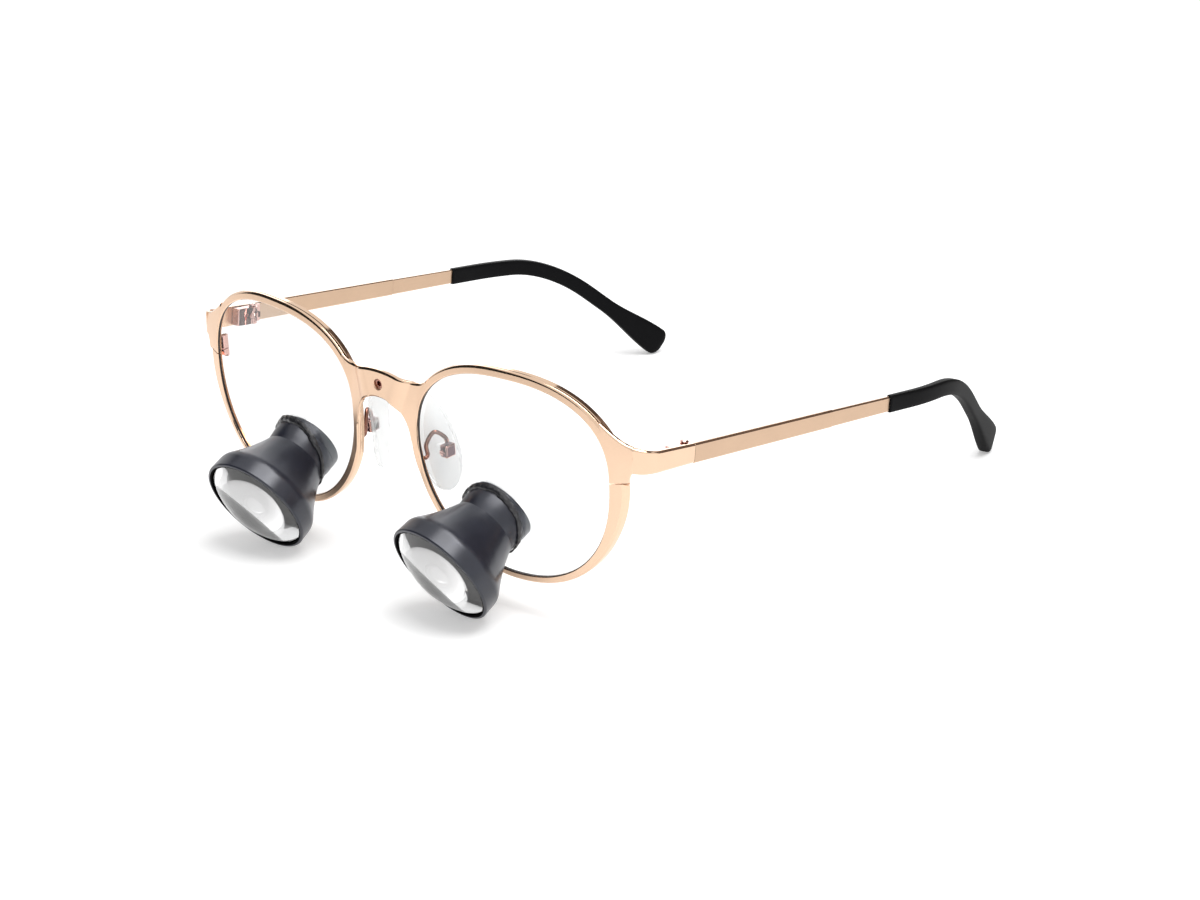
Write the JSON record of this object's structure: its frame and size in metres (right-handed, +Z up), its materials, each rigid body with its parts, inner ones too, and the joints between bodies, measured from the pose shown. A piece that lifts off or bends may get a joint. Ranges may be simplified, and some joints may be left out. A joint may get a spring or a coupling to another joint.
{
  "type": "surgical loupes",
  "caption": "Round metal spectacle frame with a tapered telescope fixed through each lens, a soft nose saddle and folding temples with bent tips.",
  "frame": {"origin": "on the table under the middle of the loupes as they rest on their objective rims and temple tips", "axes": "+X to the wearer's left, +Y from the lenses back to the ears, +Z up"},
  "size_m": [0.1452, 0.179, 0.0574],
  "materials": {
    "rose_metal": "rose gold plate, satin brushed",
    "screw_metal": "darker rose plate",
    "carrier_lens": "clear, coated",
    "optical_glass": "polished, coated",
    "charcoal_aluminium": "charcoal anodised, satin",
    "adhesive": "dark cured bead, glossy",
    "clear_silicone": "clear, smooth",
    "black_tip": "matte black"
  },
  "bodies": {
    "front": {"front_plate": "rose_metal", "bridge_screw": "screw_metal", "nose_saddle": "clear_silicone", "left_eyewire": "rose_metal", "left_lens": "carrier_lens", "left_closing_block_upper": "rose_metal", "left_closing_block_lower": "rose_metal", "left_closing_screw": "screw_metal", "left_pad_arm": "rose_metal", "left_pad_box": "rose_metal", "left_pad_screw": "screw_metal", "left_telescope_housing": "charcoal_aluminium", "left_objective_crown": "optical_glass", "left_objective_flint": "optical_glass", "left_objective_ring": "charcoal_aluminium", "left_eyepiece_cell": "charcoal_aluminium", "left_eyepiece_lens": "optical_glass", "left_eyepiece_ring": "charcoal_aluminium", "left_adhesive_bead": "adhesive", "left_hinge_front_leaf": "rose_metal", "left_hinge_screw": "screw_metal", "right_eyewire": "rose_metal", "right_lens": "carrier_lens", "right_closing_block_upper": "rose_metal", "right_closing_block_lower": "rose_metal", "right_closing_screw": "screw_metal", "right_pad_arm": "rose_metal", "right_pad_box": "rose_metal", "right_pad_screw": "screw_metal", "right_telescope_housing": "charcoal_aluminium", "right_objective_crown": "optical_glass", "right_objective_flint": "optical_glass", "right_objective_ring": "charcoal_aluminium", "right_eyepiece_cell": "charcoal_aluminium", "right_eyepiece_lens": "optical_glass", "right_eyepiece_ring": "charcoal_aluminium", "right_adhesive_bead": "adhesive", "right_hinge_front_leaf": "rose_metal", "right_hinge_screw": "screw_metal"},
    "left_arm": {"left_temple": "rose_metal", "left_tip": "black_tip", "left_hinge_temple_leaf": "rose_metal"},
    "right_arm": {"right_temple": "rose_metal", "right_tip": "black_tip", "right_hinge_temple_leaf": "rose_metal"}
  },
  "joints": [
    {"name": "left_fold", "type": "hinge", "parent": "front", "child": "left_arm", "pos_m": [0.06986, -0.04681, 0.0408], "axis": [0, 0.106, 0.9944], "range_deg": [0, 88]},
    {"name": "right_fold", "type": "hinge", "parent": "front", "child": "right_arm", "pos_m": [-0.06986, -0.04681, 0.0408], "axis": [0, -0.106, -0.9944], "range_deg": [0, 84]}
  ]
}
